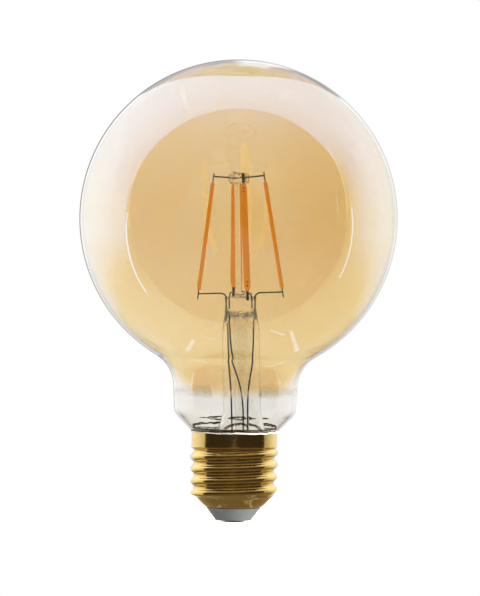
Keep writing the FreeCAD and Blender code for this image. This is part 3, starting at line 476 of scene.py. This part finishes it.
def faceEnds(name, outward, joint):
    # the middle of a filament's flat outer face near its foot and near its head, and their heights
    mesh = nodes[name].data
    flat = [face for face in mesh.polygons if face.normal.dot(outward) > joint["flatness"]]
    corners = [mesh.vertices[i].co for face in flat for i in face.vertices]
    lowest, highest = min(c.z for c in corners), max(c.z for c in corners)
    feet = [c for c in corners if c.z < lowest + joint["endZone"]]
    heads = [c for c in corners if c.z > highest - joint["endZone"]]
    middles = []
    for group in (feet, heads):
        spans = [(min(c[i] for c in group), max(c[i] for c in group)) for i in range(3)]
        middles.append(Vector([(least + most) / 2 for least, most in spans]))
    return middles[0], middles[1], lowest, highest


joint = {
    "size": 0.00027, "sunk": 0.00012, "fromEnd": (0.0014, 0.0025),
    "flatness": 0.97, "endZone": 0.003,
}
facing = {"right": (1, 0, 0), "back": (0, 1, 0), "left": (-1, 0, 0), "front": (0, -1, 0)}
spots = []
for side in sides:
    outward = Vector(facing[side])
    low, high, lowest, highest = faceEnds(f"filament_{side}", outward, joint)
    for step in joint["fromEnd"]:
        for height in (lowest + step, highest - step):
            share = (height - low.z) / (high.z - low.z)
            spots.append(low.lerp(high, share) - outward * joint["sunk"])
dotTree = makeDotTree(epoxy, "chipJoints")
chipJoints = applyTree(newPiece("chipJoints", spots), dotTree, {"Size": joint["size"]})
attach(chipJoints, "root")
print("chip joints ready:", len(chipJoints.data.polygons), "faces")


# Floor, light and camera

def makeFloor():
    # Matt white board, lit until it is as pale as the picture's background.
    floor = {"radius": 0.26, "steps": 96, "top": 0.0, "paint": (0.9, 0.9, 0.9, 1), "glow": 0.88}
    angles = [math.tau * i / floor["steps"] for i in range(floor["steps"])]
    rim = [(floor["radius"] * math.cos(a), floor["radius"] * math.sin(a), floor["top"])
           for a in angles]
    piece = newPiece("paleFloor", rim, faces=[tuple(range(floor["steps"]))])
    material, tree = newMaterial("whiteBoard")
    matte = addNode(tree, "ShaderNodeBsdfDiffuse", {"Color": floor["paint"]})
    glow = addNode(tree, "ShaderNodeEmission", {"Color": (1, 1, 1, 1), "Strength": floor["glow"]})
    show(tree, addNode(tree, "ShaderNodeAddShader", {0: matte, 1: glow}))
    piece.data.materials.append(material)
    piece.visible_glossy = False  # the bulb was lit and mirrored by the tent, not by this board
    piece.visible_transmission = False


def tentLevel(tree, x, y, z):
    # The side panels fade towards their front edges, and the top panel closes the tent over them.
    # They are brightest high up and towards the back, nearest to the lamps outside.
    panel = {
        "leftFront": 0.68, "leftBack": 1.0, "rightFront": 0.38, "rightBack": 0.95, "fadeTo": 0.6,
        "swap": 0.35, "top": 0.88, "topFrom": 0.35, "topTo": 0.85,
        "boost": 0.25, "boostHeight": 0.4, "boostFrom": 0.05, "boostTo": 0.4,
    }
    left = addNode(tree, "ShaderNodeMapRange", {
        "Value": y, "From Min": 0.0, "From Max": panel["fadeTo"],
        "To Min": panel["leftFront"], "To Max": panel["leftBack"]})
    right = addNode(tree, "ShaderNodeMapRange", {
        "Value": y, "From Min": 0.0, "From Max": panel["fadeTo"],
        "To Min": panel["rightFront"], "To Max": panel["rightBack"]})
    rightward = addNode(tree, "ShaderNodeMapRange", {
        "Value": x, "From Min": -panel["swap"], "From Max": panel["swap"]},
        interpolation_type="SMOOTHSTEP")
    panels = addNode(tree, "ShaderNodeMix", {0: rightward, 2: left, 3: right}, data_type="FLOAT")
    overhead = addNode(tree, "ShaderNodeMapRange", {
        "Value": z, "From Min": panel["topFrom"], "From Max": panel["topTo"]},
        interpolation_type="SMOOTHSTEP")
    panels = addNode(tree, "ShaderNodeMix", {
        0: overhead, 2: panels, 3: panel["top"]}, data_type="FLOAT")
    high = addNode(tree, "ShaderNodeMapRange", {
        "Value": z, "From Min": 0.0, "From Max": panel["boostHeight"], "To Max": panel["boost"]})
    back = addNode(tree, "ShaderNodeMapRange", {
        "Value": y, "From Min": panel["boostFrom"], "From Max": panel["boostTo"]})
    return addNode(tree, "ShaderNodeMath", {0: high, 1: back, 2: panels}, operation="MULTIPLY_ADD")


def tableLevel(tree, y):
    # the table is dim in front and lighter towards the backdrop
    table = {
        "front": 0.13, "middle": 0.17, "back": 0.30,
        "nearFrom": -0.6, "nearTo": 0.2, "farFrom": 0.3, "farTo": 0.95,
    }
    near = addNode(tree, "ShaderNodeMapRange", {
        "Value": y, "From Min": table["nearFrom"], "From Max": table["nearTo"],
        "To Min": table["front"], "To Max": table["middle"]}, interpolation_type="SMOOTHSTEP")
    far = addNode(tree, "ShaderNodeMapRange", {
        "Value": y, "From Min": table["farFrom"], "From Max": table["farTo"],
        "To Max": table["back"] - table["middle"]}, interpolation_type="SMOOTHSTEP")
    return addNode(tree, "ShaderNodeMath", {0: near, 1: far}, operation="ADD")


def roomLevel(tree, x, y, z, aside):
    room = {
        "front": 0.035, "ceiling": 0.45, "ceilingFall": 2.5, "edge": 0.02,
        "slope": 0.85, "backSlope": 0.42, "footFrom": -0.5, "footTo": -0.1,
        "backdrop": 0.965, "greyLeft": 0.3, "greyRight": 0.8, "greyFrom": -0.15, "greyTo": 0.05,
    }
    # the dim side of the room gets some light from its ceiling
    upward = addNode(tree, "ShaderNodeMath", {0: z, 1: 0.0}, operation="MAXIMUM")
    ceiling = addNode(tree, "ShaderNodeMath", {
        0: upward, 1: room["ceilingFall"]}, operation="POWER")
    dim = addNode(tree, "ShaderNodeMath", {
        0: ceiling, 1: room["ceiling"], 2: room["front"]}, operation="MULTIPLY_ADD")
    tent = addNode(tree, "ShaderNodeMapRange", {
        "Value": y, "From Min": -2 * room["edge"], "From Max": room["edge"]},
        interpolation_type="SMOOTHSTEP")
    upper = addNode(tree, "ShaderNodeMix", {
        0: tent, 2: dim, 3: tentLevel(tree, x, y, z)}, data_type="FLOAT")
    # the table's far edge falls away towards both sides and the back
    beside = addNode(tree, "ShaderNodeMath", {
        0: aside, 1: room["slope"], 2: z}, operation="MULTIPLY_ADD")
    behind = addNode(tree, "ShaderNodeMath", {
        0: y, 1: room["backSlope"], 2: z}, operation="MULTIPLY_ADD")
    lowest = addNode(tree, "ShaderNodeMath", {0: beside, 1: behind}, operation="MAXIMUM")
    under = addNode(tree, "ShaderNodeMapRange", {
        "Value": lowest, "From Min": -room["edge"], "From Max": room["edge"],
        "To Min": 1.0, "To Max": 0.0})
    foot = addNode(tree, "ShaderNodeMapRange", {
        "Value": z, "From Min": room["footFrom"], "From Max": room["footTo"],
        "To Min": 1.0, "To Max": 0.0})
    low = addNode(tree, "ShaderNodeMath", {0: under, 1: foot}, operation="MAXIMUM")
    level = addNode(tree, "ShaderNodeMix", {
        0: low, 2: upper, 3: tableLevel(tree, y)}, data_type="FLOAT")
    # straight behind the bulb the backdrop is greyer than the panels, most of all on the left,
    # which draws a thin dark line round the glass
    backdrop = addNode(tree, "ShaderNodeMapRange", {
        "Value": y, "From Min": room["backdrop"], "From Max": room["backdrop"] + room["edge"]})
    grey = addNode(tree, "ShaderNodeMapRange", {
        "Value": x, "From Min": room["greyFrom"], "From Max": room["greyTo"],
        "To Min": room["greyLeft"], "To Max": room["greyRight"]})
    return addNode(tree, "ShaderNodeMix", {0: backdrop, 2: level, 3: grey}, data_type="FLOAT")


def addGap(tree, aim, x, y, z, aside, white):
    # The tent has a round gap over the backdrop, which the top of the glass mirrors: dark green
    # with twigs high up in the middle, a paler grey lower down and at its ends, and a pale window.
    gap = {
        "width": 0.255, "rise": 0.35, "height": 0.43, "edgeFrom": 0.95, "edgeTo": 1.05,
        "high": "#5F8A4C", "low": "#A09CA6", "greenFrom": 0.42, "greenTo": 0.62,
        "endFrom": 0.14, "endTo": 0.22,
        "twigStretch": (2.0, 9.0, 9.0), "twigScale": 3.0, "twigFrom": 0.35, "twigTo": 0.65,
        "twigLeast": 0.55,
        "windowPlace": 0.04, "windowFrom": 0.035, "windowTo": 0.06, "windowTop": 0.48,
        "windowEnd": 0.56, "windowLeast": 0.1,
    }
    acrossGap = addNode(tree, "ShaderNodeMath", {0: aside, 1: gap["width"]}, operation="DIVIDE")
    acrossGap = addNode(tree, "ShaderNodeMath", {0: acrossGap, 1: 2.0}, operation="POWER")
    upGap = addNode(tree, "ShaderNodeMath", {0: z, 1: gap["height"]}, operation="SUBTRACT")
    upGap = addNode(tree, "ShaderNodeMath", {0: upGap, 1: gap["rise"]}, operation="DIVIDE")
    upGap = addNode(tree, "ShaderNodeMath", {0: upGap, 1: 2.0}, operation="POWER")
    outward = addNode(tree, "ShaderNodeMath", {0: acrossGap, 1: upGap}, operation="ADD")
    share = addNode(tree, "ShaderNodeMapRange", {
        "Value": outward, "From Min": gap["edgeFrom"], "From Max": gap["edgeTo"],
        "To Min": 1.0, "To Max": 0.0})
    inBack = addNode(tree, "ShaderNodeMath", {0: y, 1: 0.0}, operation="GREATER_THAN")
    share = addNode(tree, "ShaderNodeMath", {0: share, 1: inBack}, operation="MULTIPLY")
    # the twigs
    stretched = addNode(tree, "ShaderNodeMapping", {"Vector": aim, "Scale": gap["twigStretch"]})
    twigs = addNode(tree, "ShaderNodeTexNoise", {
        "Vector": stretched, "Scale": gap["twigScale"], "Detail": 2.0})
    twigs = addNode(tree, "ShaderNodeMapRange", {
        "Value": twigs, "From Min": gap["twigFrom"], "From Max": gap["twigTo"],
        "To Min": gap["twigLeast"], "To Max": 1.0})
    share = addNode(tree, "ShaderNodeMath", {0: share, 1: twigs}, operation="MULTIPLY")
    # the window
    fromWindow = addNode(tree, "ShaderNodeMath", {
        0: x, 1: gap["windowPlace"]}, operation="SUBTRACT")
    fromWindow = addNode(tree, "ShaderNodeMath", {0: fromWindow}, operation="ABSOLUTE")
    window = addNode(tree, "ShaderNodeMapRange", {
        "Value": fromWindow, "From Min": gap["windowFrom"], "From Max": gap["windowTo"],
        "To Min": gap["windowLeast"], "To Max": 1.0})
    aboveWindow = addNode(tree, "ShaderNodeMapRange", {
        "Value": z, "From Min": gap["windowTop"], "From Max": gap["windowEnd"],
        "To Min": gap["windowLeast"], "To Max": 1.0})
    window = addNode(tree, "ShaderNodeMath", {0: window, 1: aboveWindow}, operation="MAXIMUM")
    share = addNode(tree, "ShaderNodeMath", {0: share, 1: window}, operation="MULTIPLY")
    green = addNode(tree, "ShaderNodeMapRange", {
        "Value": z, "From Min": gap["greenFrom"], "From Max": gap["greenTo"]})
    ends = addNode(tree, "ShaderNodeMapRange", {
        "Value": aside, "From Min": gap["endFrom"], "From Max": gap["endTo"],
        "To Min": 1.0, "To Max": 0.0})
    green = addNode(tree, "ShaderNodeMath", {0: green, 1: ends}, operation="MULTIPLY")
    plants = addNode(tree, "ShaderNodeMix", {
        0: green, 6: linear(gap["low"]), 7: linear(gap["high"])}, data_type="RGBA")
    mixed = addNode(tree, "ShaderNodeMix", {
        0: share, 6: white, 7: plants.outputs[2]}, data_type="RGBA")
    return mixed.outputs[2]


def addLamps(tree, aim, room):
    # slim lamps beside and under the tent, each an arc between two directions with a width
    # and a strength, which draw the thin white lines on the glass
    lamps = [
        {"start": (-1.0, -0.03, 0.04), "end": (-0.754, 0.074, -0.652),
         "width": 0.010, "light": 1.5},
        {"start": (0.997, 0.012, 0.117), "end": (0.869, 0.056, -0.50),
         "width": 0.010, "light": 1.2},
        {"start": (0.97, -0.215, 0.28), "end": (0.97, -0.215, 0.02),
         "width": 0.008, "light": 0.4},
        {"start": (-0.316, 0.273, -0.911), "end": (-0.274, 0.566, -0.763),
         "width": 0.016, "light": 0.5},
        {"start": (-0.271, 0.178, -0.946), "end": (-0.139, 0.155, -0.977),
         "width": 0.014, "light": 0.5},
        {"start": (0.284, 0.006, -0.964), "end": (0.387, 0.216, -0.898),
         "width": 0.014, "light": 0.45},
        {"start": (0.433, 0.162, -0.893), "end": (0.315, 0.63, -0.708),
         "width": 0.016, "light": 0.55},
    ]
    soft = {"core": 0.6, "end": 0.004}
    for lamp in lamps:
        first, last = Vector(lamp["start"]).normalized(), Vector(lamp["end"]).normalized()
        middle = (first + last).normalized()
        reach = first.dot(middle)
        off = addNode(tree, "ShaderNodeVectorMath", {
            0: aim, 1: tuple(first.cross(last).normalized())}, operation="DOT_PRODUCT")
        off = addNode(tree, "ShaderNodeMath", {0: off.outputs["Value"]}, operation="ABSOLUTE")
        across = addNode(tree, "ShaderNodeMapRange", {
            "Value": off, "From Min": lamp["width"] * soft["core"], "From Max": lamp["width"],
            "To Min": lamp["light"], "To Max": 0.0})
        along = addNode(tree, "ShaderNodeVectorMath", {
            0: aim, 1: tuple(middle)}, operation="DOT_PRODUCT")
        along = addNode(tree, "ShaderNodeMapRange", {
            "Value": along.outputs["Value"], "From Min": reach, "From Max": reach + soft["end"]})
        shine = addNode(tree, "ShaderNodeMath", {0: across, 1: along}, operation="MULTIPLY")
        shine = addNode(tree, "ShaderNodeCombineXYZ", {0: shine, 1: shine, 2: shine})
        room = addNode(tree, "ShaderNodeVectorMath", {0: room, 1: shine}, operation="ADD")
    return room


def makeStudio():
    # A white tent stands behind and over the bulb and ends level with it, so everything on the
    # camera's side is dim. Its top panel stops short of the backdrop and leaves a gap.
    dimLight = {"tint": "#FFE6C6", "from": 0.3, "to": 0.6}
    world = bpy.data.worlds.new("studio")
    bpy.context.scene.world = world
    world.use_nodes = True
    tree = world.node_tree
    tree.nodes.clear()
    aim = addNode(tree, "ShaderNodeTexCoord").outputs["Generated"]
    way = addNode(tree, "ShaderNodeSeparateXYZ", {0: aim}).outputs
    x, y, z = way["X"], way["Y"], way["Z"]
    aside = addNode(tree, "ShaderNodeMath", {0: x}, operation="ABSOLUTE")
    level = roomLevel(tree, x, y, z, aside)
    # what is dim is warm too
    warm = addNode(tree, "ShaderNodeMapRange", {
        "Value": level, "From Min": dimLight["from"], "From Max": dimLight["to"],
        "To Min": 1.0, "To Max": 0.0})
    warmth = addNode(tree, "ShaderNodeMix", {
        0: warm, 6: (1, 1, 1, 1), 7: linear(dimLight["tint"])}, data_type="RGBA").outputs[2]
    white = addNode(tree, "ShaderNodeVectorMath", {
        0: warmth, "Scale": level.outputs[0]}, operation="SCALE")
    room = addLamps(tree, aim, addGap(tree, aim, x, y, z, aside, white))
    # the picture's own background is plain white, also where it is seen straight through glass
    path = addNode(tree, "ShaderNodeLightPath").outputs
    turned = addNode(tree, "ShaderNodeMath", {
        0: path["Glossy Depth"], 1: path["Diffuse Depth"]}, operation="ADD")
    straight = addNode(tree, "ShaderNodeMath", {0: turned, 1: 0.5}, operation="LESS_THAN")
    through = addNode(tree, "ShaderNodeMath", {
        0: path["Is Transmission Ray"], 1: straight}, operation="MULTIPLY")
    plain = addNode(tree, "ShaderNodeMath", {
        0: path["Is Camera Ray"], 1: through}, operation="MAXIMUM")
    colour = addNode(tree, "ShaderNodeMix", {
        0: plain, 6: room, 7: (1, 1, 1, 1)}, data_type="RGBA").outputs[2]
    light = addNode(tree, "ShaderNodeBackground", {"Color": colour, "Strength": 1.0})
    addNode(tree, "ShaderNodeOutputWorld", {"Surface": light})


def aimed(place, aim):
    # at the place, looking at the aim
    turn = (aim - place).to_track_quat("-Z", "Y").to_matrix().to_4x4()
    return Matrix.Translation(place) @ turn


def makeSoftbox():
    # A soft light from the right in front for what is dull: cement, solder and insulator.
    softbox = {"place": (1.7, -0.7, 0.4), "aim": (0, 0, 0.02), "size": 0.7, "energy": 100.0}
    data = bpy.data.lights.new("softbox", "AREA")
    data.size = softbox["size"]
    data.energy = softbox["energy"]
    lamp = bpy.data.objects.new("softbox", data)
    bpy.context.scene.collection.objects.link(lamp)
    lamp.matrix_world = aimed(Vector(softbox["place"]), Vector(softbox["aim"]))
    lamp.visible_camera = False
    lamp.visible_glossy = False  # no softbox shows in the glass or the brass
    lamp.visible_transmission = False


def makeCamera():
    # Photographed from far off and a little above, with the bulb leaning one degree
    # to the right in the frame.
    view = {
        "distance": 3.5, "rise": 2.6, "aim": (0.000865, 0.0, 0.0668), "lean": 1.06,
        "frameHeight": 0.17775, "sensor": 36.0, "near": 0.05, "far": 20.0,
    }
    data = bpy.data.cameras.new("camera")
    data.sensor_fit = "VERTICAL"
    data.sensor_height = view["sensor"]
    data.lens = view["sensor"] * view["distance"] / view["frameHeight"]
    data.clip_start = view["near"]
    data.clip_end = view["far"]
    camera = bpy.data.objects.new("camera", data)
    bpy.context.scene.collection.objects.link(camera)
    rise = math.radians(view["rise"])
    aim = Vector(view["aim"])
    place = aim + Vector((0, -math.cos(rise), math.sin(rise))) * view["distance"]
    camera.matrix_world = aimed(place, aim) @ Matrix.Rotation(math.radians(view["lean"]), 4, "Z")
    bpy.context.scene.camera = camera


makeFloor()
makeStudio()
makeSoftbox()
makeCamera()
bpy.context.scene.view_settings.view_transform = "Standard"
# light crosses up to a dozen walls of glass before it leaves the bulb
cycles = bpy.context.scene.cycles
cycles.use_denoising = True
cycles.caustics_reflective = True
cycles.caustics_refractive = True
cycles.max_bounces = 32
cycles.transmission_bounces = 32
cycles.glossy_bounces = 12
cycles.diffuse_bounces = 4
cycles.transparent_max_bounces = 32
cycles.sample_clamp_indirect = 6.0
print("studio ready")
